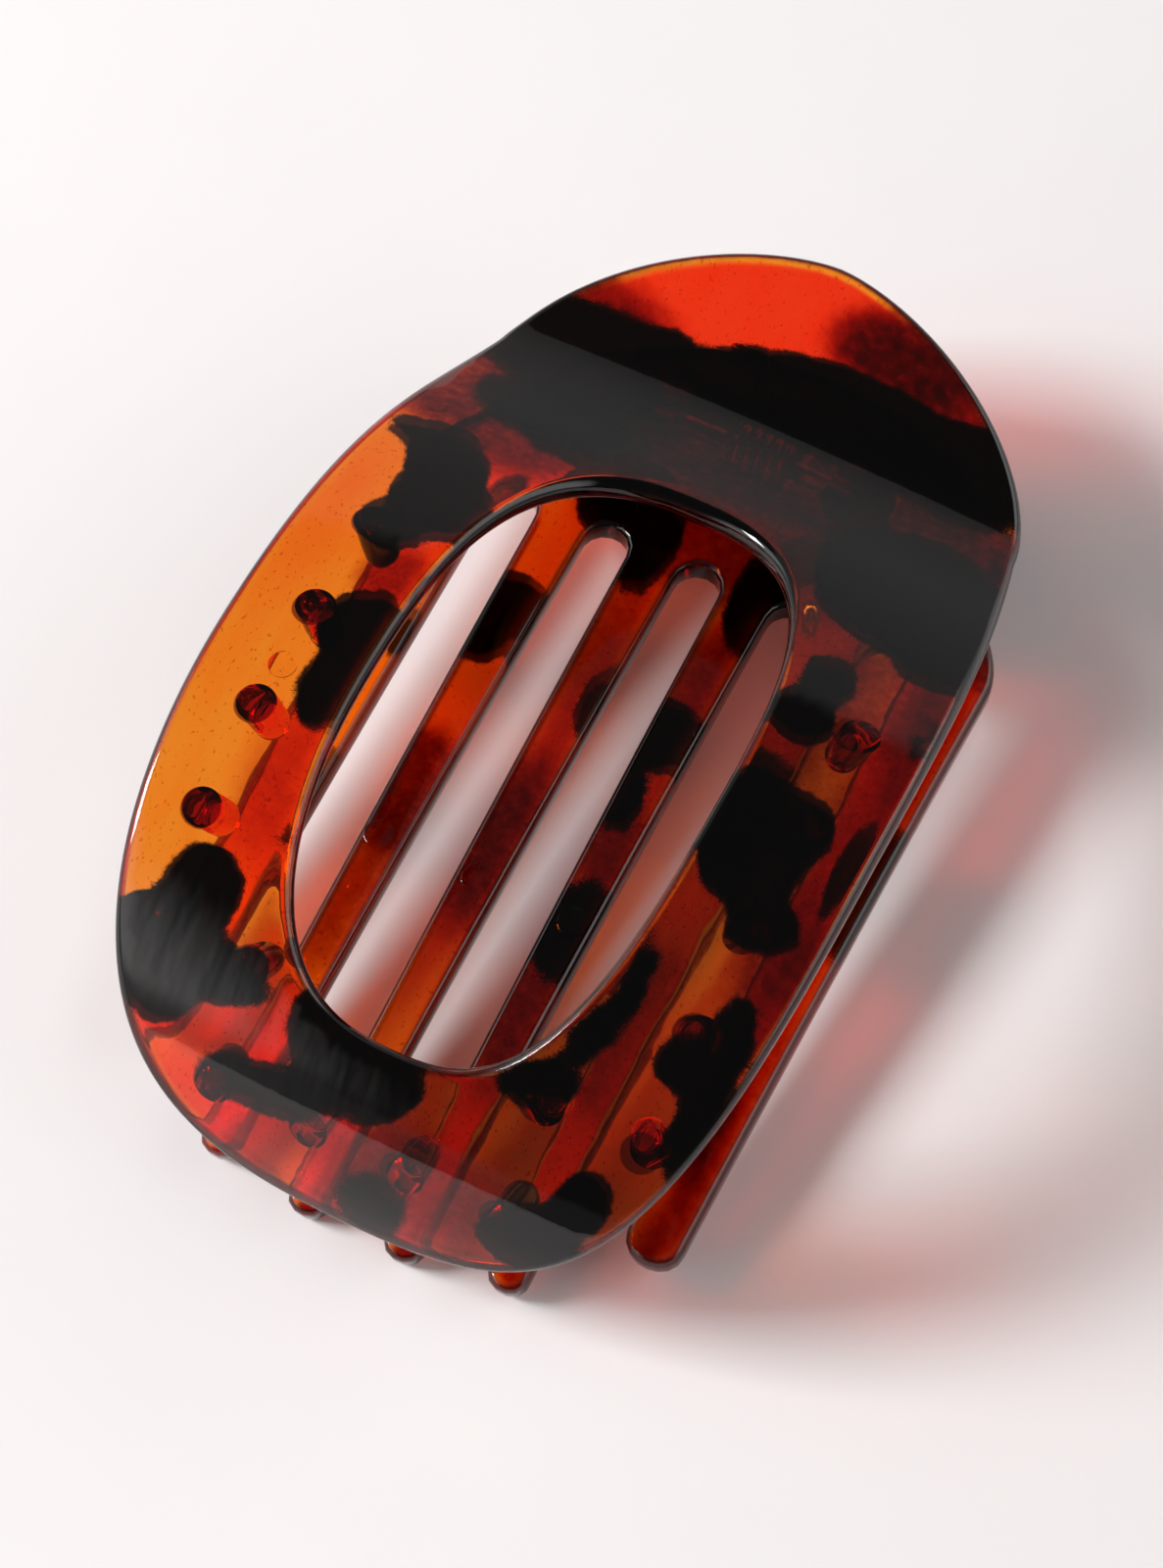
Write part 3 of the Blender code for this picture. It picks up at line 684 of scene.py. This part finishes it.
def spot_depths(places, spot):
    """How far inside one spot each flat place is, in mm."""
    x, s, half_x, half_s, turn = spot[:5]
    angle = math.radians(turn)
    dx = places[:, 0] - x
    ds = places[:, 1] - s
    u = (dx * math.cos(angle) + ds * math.sin(angle)) / half_x
    v = (ds * math.cos(angle) - dx * math.sin(angle)) / half_s
    return (1 - np.sqrt(u * u + v * v)) * min(half_x, half_s)


def field(places, spots):
    """How far inside the nearest spot each flat place is, and how soft that spot's edge is."""
    melt = 0.6
    total = np.zeros(len(places))
    softness = np.zeros(len(places))
    for spot in spots:
        weight = np.exp(np.clip(spot_depths(places, spot), -8, 8) / melt)
        total += weight
        softness += weight * spot[5]
    return melt * np.log(np.maximum(total, 1e-6)), softness / np.maximum(total, 1e-9)


def density(places, spots):
    """How much of a thin pigment lies at each flat place."""
    total = np.zeros(len(places))
    for spot in spots:
        share = np.clip(spot_depths(places, spot) / spot[5] / 2 + 0.5, 0, 1)
        total += spot[6] * share * share * (3 - 2 * share)
    return total


def store(item, name, kind, values):
    attribute = item.data.attributes.new(name, kind, "POINT")
    member = "vector" if kind == "FLOAT_VECTOR" else "value"
    attribute.data.foreach_set(member, values.astype(np.float32).ravel())


def bar_painted_glow(places):
    """Mask of a painted glow: 1 along the right side of each of the comb's bars, 0 elsewhere."""
    across = places[:, 0] % TINE_PITCH - TINE_PITCH / 2
    return np.clip((across - 0.9) / 0.9, 0, 1) * (places[:, 1] > SLOT_END)


def window_painted_glow(places, window):
    """Mask of a painted glow: 1 along the left side of the window, fading into the plate."""
    fade = np.clip((1.7 - clearance(places[:, :2], window)) / 0.8, 0, 1)
    return fade * (places[:, 0] < -9) * (places[:, 1] < WINDOW_MIDDLE + 0.8 * WINDOW_HALF_LENGTH)


def lay_pattern(item, bend, crown, outlines, blotches, clouds, reds):
    """Write where each vertex lies on the flat sheet, and the pigments there."""
    points = np.array([vert.co for vert in item.data.vertices], float) / MM
    points[:, 1] += CENTRE_Y
    places = bend.places(points, crown)
    store(item, "flat_place", "FLOAT_VECTOR", places)
    depth, soft = field(places, blotches)
    store(item, "blotch_depth", "FLOAT", depth)
    store(item, "blotch_soft", "FLOAT", soft)
    store(item, "cloud", "FLOAT", density(places, clouds))
    store(item, "red", "FLOAT", density(places, reds))
    rim = np.full(len(places), 9.0)
    for start in range(0, len(places), 2000):
        block = places[start:start + 2000, :2]
        for outline in outlines:
            rim[start:start + 2000] = np.minimum(rim[start:start + 2000], clearance(block, outline))
    store(item, "rim_distance", "FLOAT", rim)
    return places


class Nodes:
    """Short calls for building a node tree."""

    def __init__(self, tree):
        self.tree = tree
        tree.nodes.clear()

    def add(self, kind, **settings):
        node = self.tree.nodes.new(kind)
        for key, value in settings.items():
            setattr(node, key, value)
        return node

    def put(self, socket, value):
        if isinstance(value, bpy.types.NodeSocket):
            self.tree.links.new(value, socket)
        else:
            socket.default_value = value

    def math(self, operation, *values):
        node = self.add("ShaderNodeMath", operation=operation)
        for socket, value in zip(node.inputs, values):
            self.put(socket, value)
        return node.outputs[0]

    def span(self, value, low, high, to_low=0.0, to_high=1.0, smooth=True):
        """A value's share of the way from low to high, given as a number from to_low to to_high."""
        node = self.add("ShaderNodeMapRange", interpolation_type="SMOOTHSTEP" if smooth else "LINEAR")
        for socket, number in zip(node.inputs, (value, low, high, to_low, to_high)):
            self.put(socket, number)
        return node.outputs[0]

    def noise(self, vector, scale, detail=2.0, roughness=0.5, stretch=None, offset=0.0):
        if stretch is not None or offset:
            mapping = self.add("ShaderNodeMapping")
            self.put(mapping.inputs["Vector"], vector)
            mapping.inputs["Scale"].default_value = stretch or (1, 1, 1)
            mapping.inputs["Location"].default_value = (offset, offset, offset)
            vector = mapping.outputs[0]
        node = self.add("ShaderNodeTexNoise")
        self.put(node.inputs["Vector"], vector)
        node.inputs["Scale"].default_value = scale
        node.inputs["Detail"].default_value = detail
        node.inputs["Roughness"].default_value = roughness
        return node.outputs["Fac"]

    def mix(self, share, first, second):
        node = self.add("ShaderNodeMix", data_type="RGBA")
        self.put(node.inputs["Factor"], share)
        self.put(node.inputs[6], first)
        self.put(node.inputs[7], second)
        return node.outputs[2]

    def multiply(self, first, second):
        node = self.add("ShaderNodeMix", data_type="RGBA", blend_type="MULTIPLY")
        node.inputs["Factor"].default_value = 1.0
        self.put(node.inputs[6], first)
        self.put(node.inputs[7], second)
        return node.outputs[2]

    def power(self, colour, exponent):
        node = self.add("ShaderNodeGamma")
        self.put(node.inputs["Color"], colour)
        self.put(node.inputs["Gamma"], exponent)
        return node.outputs[0]

    def attribute(self, name, output="Fac"):
        return self.add("ShaderNodeAttribute", attribute_name=name).outputs[output]


def painted_peg_shade(n, place):
    """Mask of the painted shade on the upper jaw's top face: dark discs over its pegs, standing in for the
    shade that the pegs' roots show through the plate.
    """
    split = n.add("ShaderNodeSeparateXYZ")
    n.put(split.inputs[0], place)
    x, s, height = split.outputs
    spot = n.add("ShaderNodeCombineXYZ")
    n.put(spot.inputs[0], n.math("ABSOLUTE", x))
    n.put(spot.inputs[1], s)
    nearest = None
    pegs = [(SIDE_PEG_X, station) for station in SIDE_PEG_STATIONS] + list(FRONT_PEGS)
    for (peg_x, peg_s), shift in zip(pegs, DISC_SHIFTS):
        away = n.add("ShaderNodeVectorMath", operation="DISTANCE")
        n.put(away.inputs[0], spot.outputs[0])
        away.inputs[1].default_value = (peg_x - DISC_INWARD, peg_s + shift, 0.0)
        nearest = away.outputs[1] if nearest is None else n.math("MINIMUM", nearest, away.outputs[1])
    disc = n.span(nearest, PEG_RADIUS - 0.05, PEG_RADIUS + 0.15, 1.0, 0.0)
    faces_up = n.math("MULTIPLY", n.attribute("plate_top"), n.math("GREATER_THAN", height, 0.0))
    return n.math("MULTIPLY", disc, faces_up)


def tortoiseshell():
    """Clear amber plastic with red and brown clouds and near-black blotches right through the sheet, with
    painted shade over the pegs and along the edges, and a painted glow along the bars and the window.
    """
    mat = bpy.data.materials.new("tortoiseshell_plastic")
    mat.use_nodes = True
    n = Nodes(mat.node_tree)
    place = n.attribute("flat_place", "Vector")
    depth = n.attribute("blotch_depth")
    soft = n.attribute("blotch_soft")
    rim = n.attribute("rim_distance")
    # The pattern is the same on both faces, so height on the sheet hardly counts
    flat = n.add("ShaderNodeVectorMath", operation="MULTIPLY")
    n.put(flat.inputs[0], place)
    flat.inputs[1].default_value = (1, 1, 0.15)
    flat = flat.outputs[0]
    broad = n.noise(flat, 0.22, 1.0)
    lobes = n.noise(flat, 0.8, 3.0, 0.6)
    grains = n.noise(flat, 5.0, 2.0, 0.7)
    wander = n.math("MULTIPLY_ADD", n.math("SUBTRACT", broad, 0.5), 1.3, depth)
    wander = n.math("MULTIPLY_ADD", n.math("SUBTRACT", lobes, 0.5), 0.6, wander)
    speckle = n.math("MULTIPLY", n.math("SUBTRACT", grains, 0.5), n.math("MULTIPLY_ADD", soft, 2.4, 0.15))
    wander = n.math("ADD", wander, speckle)
    width = n.math("ADD", n.math("MULTIPLY", soft, 0.5), 0.1)
    blotch = n.span(wander, n.math("MULTIPLY", width, -1.0), width)
    # Clouds: each pigment's colour raised to its density
    uneven = n.span(lobes, 0.25, 0.75, 0.6, 1.4, smooth=False)
    # Painted glow: light gathers along one side of each bar and of the window, so the clouds and blotches
    # are painted thinner there
    painted_glow = n.attribute("painted_edge_glow")
    uneven_and_painted_glow = n.math("MULTIPLY", uneven, n.span(painted_glow, 0.0, 1.0, 1.0, 0.2))
    cloud = n.math("MULTIPLY", n.attribute("cloud"), uneven_and_painted_glow)
    red = n.math("MULTIPLY", n.attribute("red"), n.span(rim, 0.8, 1.3))
    # Painted glow: the blotches are lightened along the same sides
    blotch = n.math("MULTIPLY", blotch, n.span(painted_glow, 0.0, 1.0, 1.0, 0.93))
    streaks = n.noise(flat, 0.5, 3.0, 0.6, stretch=(1.0, 0.25, 1.0), offset=7.0)
    tint = n.mix(n.span(streaks, 0.35, 0.75), WHITE, STREAK_COLOUR)
    tint = n.multiply(tint, n.power(CLOUD_COLOUR, cloud))
    tint = n.multiply(tint, n.power(RED_COLOUR, red))
    dots = n.noise(flat, 2.4, 1.0, 0.5, stretch=(1.0, 0.6, 1.0), offset=11.0)
    tint = n.mix(n.span(dots, 0.66, 0.74, 0.0, 0.8), tint, n.multiply(tint, SPECK_COLOUR))
    # Painted shade: dark discs on the plate's top face over the pegs' roots
    tint = n.mix(painted_peg_shade(n, place), tint, PEG_SHADE_COLOUR)
    # Painted shade: a dark line along the sheets' outlines and the window's edge, standing in for the
    # darkness that the rounded edges show
    tint = n.mix(n.span(rim, 0.35, 0.8, 1.0, 0.0), tint, RIM_SHADE_COLOUR)
    colour = n.mix(blotch, tint, BLOTCH_COLOUR)
    wave = n.noise(flat, 0.35, 2.0, 0.5, stretch=(1.0, 0.35, 1.0), offset=3.0)
    bump = n.add("ShaderNodeBump")
    bump.inputs["Strength"].default_value = 0.2
    bump.inputs["Distance"].default_value = 0.0002
    n.put(bump.inputs["Height"], wave)
    shader = n.add("ShaderNodeBsdfPrincipled")
    n.put(shader.inputs["Base Color"], colour)
    n.put(shader.inputs["Roughness"], n.span(grains, 0.3, 0.8, 0.01, 0.05))
    shader.inputs["IOR"].default_value = PLASTIC_IOR
    shader.inputs["Transmission Weight"].default_value = 1.0
    n.put(shader.inputs["Normal"], bump.outputs[0])
    # What a lamp sees: the glass would bend much of its light away, so less of it comes through
    clear_way = n.add("ShaderNodeBsdfTransparent")
    n.put(clear_way.inputs["Color"], n.multiply(n.power(colour, 0.5), LAMP_COLOUR))
    path = n.add("ShaderNodeLightPath")
    both = n.add("ShaderNodeMixShader")
    n.put(both.inputs[0], path.outputs["Is Shadow Ray"])
    n.put(both.inputs[1], shader.outputs[0])
    n.put(both.inputs[2], clear_way.outputs[0])
    inner = n.add("ShaderNodeVolumeAbsorption")
    inner.inputs["Color"].default_value = AMBER
    inner.inputs["Density"].default_value = AMBER_PER_METRE
    out = n.add("ShaderNodeOutputMaterial")
    n.put(out.inputs["Surface"], both.outputs[0])
    n.put(out.inputs["Volume"], inner.outputs[0])
    return mat


def steel(name, colour, low, high, stretch):
    """Plain steel with drawing marks along its length."""
    mat = bpy.data.materials.new(name)
    mat.use_nodes = True
    n = Nodes(mat.node_tree)
    where = n.add("ShaderNodeTexCoord").outputs["Object"]
    marks = n.noise(where, 900.0, 3.0, 0.6, stretch=stretch)
    stains = n.noise(where, 260.0, 2.0, 0.5, offset=2.0)
    dark = tuple(c * 0.7 for c in colour) + (1.0,)
    shader = n.add("ShaderNodeBsdfPrincipled")
    n.put(shader.inputs["Base Color"], n.mix(n.span(stains, 0.35, 0.7), colour + (1.0,), dark))
    shader.inputs["Metallic"].default_value = 1.0
    n.put(shader.inputs["Roughness"], n.span(marks, 0.3, 0.7, low, high))
    bump = n.add("ShaderNodeBump")
    bump.inputs["Strength"].default_value = 0.2
    bump.inputs["Distance"].default_value = 0.00005
    n.put(bump.inputs["Height"], marks)
    n.put(shader.inputs["Normal"], bump.outputs[0])
    out = n.add("ShaderNodeOutputMaterial")
    n.put(out.inputs["Surface"], shader.outputs[0])
    return mat


def paint(item, mat):
    item.data.materials.clear()
    item.data.materials.append(mat)


def build_upper(shell):
    bend = Bend(PLATE_BEND, PLATE_CREASE_Y, PLATE_CREASE_Z)

    def place(x, s, height):
        return bend.point(x, s, height, PLATE_CROWN)

    outer = plate_outline(1.0)
    window = window_outline(1.0)
    plate = sheet("upper_shell", outer, [window], place, PLATE_THICK, PLATE_EDGE, 1.25, 6)
    tools = []
    for side in (-1, 1):
        for s in SIDE_PEG_STATIONS:
            tools.append(peg("peg", bend, side * SIDE_PEG_X, s, PEG_LEAN))
        for x, s in FRONT_PEGS:
            tools.append(peg("peg", bend, side * x, s, 0.0))
        tools.append(lug("lug", bend, (4.5, 3, 1.5, 0, -1.5, -3, -4.5, -6), side * UPPER_LUG_X))
    for x, s, radius in PLATE_MARKS:
        tools.append(mark("mark", bend, x, s, -1, PLATE_THICK, PLATE_CROWN, radius))
    combine(plate, tools, "UNION")
    combine(plate, [bore("bore", side * UPPER_LUG_X) for side in (-1, 1)], "DIFFERENCE")
    places = lay_pattern(plate, bend, PLATE_CROWN, (outer, window),
                         PLATE_BLOTCHES, PLATE_CLOUDS, PLATE_REDS)
    store(plate, "painted_edge_glow", "FLOAT", window_painted_glow(places, window))
    store(plate, "plate_top", "FLOAT", np.ones(len(places)))
    paint(plate, shell)
    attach(plate, "upper")
    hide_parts("upper_jaw")
    return bend


def build_lower(shell):
    bend = Bend(COMB_BEND, PIN_Y, COMB_START_Z)
    outer = comb_outline(1.0)
    comb = sheet("lower_comb", outer, [], bend.point, COMB_THICK, COMB_EDGE, 1.25, 5)
    tools = []
    for side in (-1, 1):
        tools.append(lug("lug", bend, (-6, -4, -2, 0, 2, 4, 6), side * LOWER_LUG_X))
    seat = [bend.point(0, s, COMB_THICK / 2 + SEAT_HEIGHT) for s in (8.0, 6.0, 4.5)]
    seat += [bend.point(0, s, 0) for s in (4.5, 6.0, 8.0)]
    tools.append(prism("seat", [(p.y, p.z) for p in seat], -SEAT_HALF_WIDTH, SEAT_HALF_WIDTH, 0.15))
    for x, s, radius in COMB_MARKS:
        tools.append(mark("mark", bend, x, s, 1, COMB_THICK, 0.0, radius))
    combine(comb, tools, "UNION")
    combine(comb, [bore("bore", side * LOWER_LUG_X) for side in (-1, 1)], "DIFFERENCE")
    places = lay_pattern(comb, bend, 0.0, (outer,), COMB_BLOTCHES, COMB_CLOUDS, COMB_REDS)
    store(comb, "painted_edge_glow", "FLOAT", bar_painted_glow(places))
    paint(comb, shell)
    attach(comb, "lower")
    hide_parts("lower_jaw")
    return bend


def build_pin(mat):
    inner = PIN_HALF_LENGTH - PIN_HEAD_THICK
    half = [(inner, PIN_RADIUS), (inner, PIN_HEAD_RADIUS), (PIN_HALF_LENGTH - 0.45, PIN_HEAD_RADIUS),
            (PIN_HALF_LENGTH - 0.15, PIN_HEAD_RADIUS * 0.88), (PIN_HALF_LENGTH, PIN_HEAD_RADIUS * 0.55)]
    profile = [(-along, radius) for along, radius in half[::-1]] + half
    pin = lathe("pin_with_heads", profile, Vector((0, PIN_Y, PIN_Z)), Vector((1, 0, 0)), 48)
    paint(pin, mat)
    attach(pin, "lower")
    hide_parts("hinge_pin")


def build_spring(mat, upper, lower):
    wire = tube("wire_spring", spring_path(upper, lower, COIL_TURNS * 40), WIRE_RADIUS, 16)
    paint(wire, mat)
    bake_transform(wire)
    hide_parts("torsion_spring")


def table():
    """A plain pale surface that the clip lies on."""
    build = bmesh.new()
    size = TABLE_HALF_SIZE
    signs = ((-1, -1), (1, -1), (1, 1), (-1, 1))
    corners = [build.verts.new((x * size, y * size, 0.0)) for x, y in signs]
    build.faces.new(corners)
    mesh = bpy.data.meshes.new("table")
    build.to_mesh(mesh)
    build.free()
    item = bpy.data.objects.new("table", mesh)
    bpy.context.scene.collection.objects.link(item)
    mat = bpy.data.materials.new("table_paper")
    mat.use_nodes = True
    n = Nodes(mat.node_tree)
    fibres = n.noise(n.add("ShaderNodeTexCoord").outputs["Object"], 60.0, 3.0)
    shader = n.add("ShaderNodeBsdfPrincipled")
    n.put(shader.inputs["Base Color"], n.mix(fibres, TABLE_LIGHT, TABLE_DARK))
    shader.inputs["Roughness"].default_value = 0.85
    shader.inputs["Specular IOR Level"].default_value = 0.1
    out = n.add("ShaderNodeOutputMaterial")
    n.put(out.inputs["Surface"], shader.outputs[0])
    paint(item, mat)


def aim(item, place, target):
    item.location = place
    item.rotation_euler = (target - place).to_track_quat("-Z", "Y").to_euler()


def area_light(name, azimuth, elevation, distance, size, power, colour, target):
    """A square lamp; azimuth 0 is the +Y side and grows towards -X."""
    light = bpy.data.lights.new(name, "AREA")
    light.shape = "SQUARE"
    light.size = size
    light.energy = power
    light.color = colour
    item = bpy.data.objects.new(name, light)
    bpy.context.scene.collection.objects.link(item)
    item.visible_camera = False
    a = math.radians(azimuth)
    e = math.radians(elevation)
    away = Vector((-math.sin(a) * math.cos(e), math.cos(a) * math.cos(e), math.sin(e)))
    aim(item, target + away * distance, target)


def studio():
    """A pale wall at the back up to about 36 degrees, bright sides, a low pale front and a dim ceiling."""
    world = bpy.data.worlds.new("studio")
    bpy.context.scene.world = world
    world.use_nodes = True
    n = Nodes(world.node_tree)
    split = n.add("ShaderNodeSeparateXYZ")
    n.put(split.inputs[0], n.add("ShaderNodeTexCoord").outputs["Generated"])
    x, y, z = split.outputs
    way_x, way_y = BACKWARDS
    back = n.math("ADD", n.math("MULTIPLY", x, way_x), n.math("MULTIPLY", y, way_y))
    side = n.math("ADD", n.math("MULTIPLY", x, way_y), n.math("MULTIPLY", y, -way_x))
    side = n.math("ABSOLUTE", side)
    wall = n.math("MULTIPLY", n.span(back, -0.35, 0.35), n.span(z, *WALL_TOP, 1.0, 0.0))
    front = n.math("MULTIPLY", n.span(back, -0.5, -0.2, 1.0, 0.0), n.span(z, *FRONT_TOP, 1.0, 0.0))
    light = n.math("MULTIPLY_ADD", wall, SKY_BACK, SKY_CEILING)
    light = n.math("MULTIPLY_ADD", front, SKY_FRONT, light)
    high = n.span(z, *SIDES_RISE, *SKY_SIDES)
    light = n.math("MULTIPLY_ADD", n.span(side, 0.58, 0.80), high, light)
    background = n.add("ShaderNodeBackground")
    n.put(background.inputs["Strength"], light)
    background.inputs["Color"].default_value = SKY_COLOUR
    out = n.add("ShaderNodeOutputWorld")
    n.put(out.inputs["Surface"], background.outputs[0])


def camera():
    azimuth = math.radians(CAMERA_AZIMUTH)
    elevation = math.radians(CAMERA_ELEVATION)
    target = Vector(CAMERA_TARGET)
    away = Vector((math.sin(azimuth) * math.cos(elevation), -math.cos(azimuth) * math.cos(elevation),
                   math.sin(elevation)))
    data = bpy.data.cameras.new("camera")
    data.sensor_fit = "HORIZONTAL"
    data.sensor_width = CAMERA_SENSOR
    data.lens = CAMERA_LENS
    data.clip_start = 0.01
    item = bpy.data.objects.new("camera", data)
    bpy.context.scene.collection.objects.link(item)
    aim(item, target + away * CAMERA_DISTANCE, target)
    bpy.context.scene.camera = item


def main():
    shell = tortoiseshell()
    upper = build_upper(shell)
    lower = build_lower(shell)
    build_pin(steel("pin_steel", PIN_COLOUR, 0.18, 0.38, (0.05, 1.0, 1.0)))
    build_spring(steel("spring_steel", SPRING_COLOUR, 0.22, 0.42, (1.0, 1.0, 1.0)), upper, lower)
    table()
    studio()
    area_light("key", KEY_AZIMUTH, KEY_ELEVATION, KEY_DISTANCE, KEY_SIZE, KEY_POWER, KEY_COLOUR,
               Vector(KEY_TARGET))
    camera()
    scene = bpy.context.scene
    scene.view_settings.view_transform = "Standard"
    scene.cycles.transmission_bounces = 16
    scene.cycles.max_bounces = 20
    scene.cycles.transparent_max_bounces = 24


main()
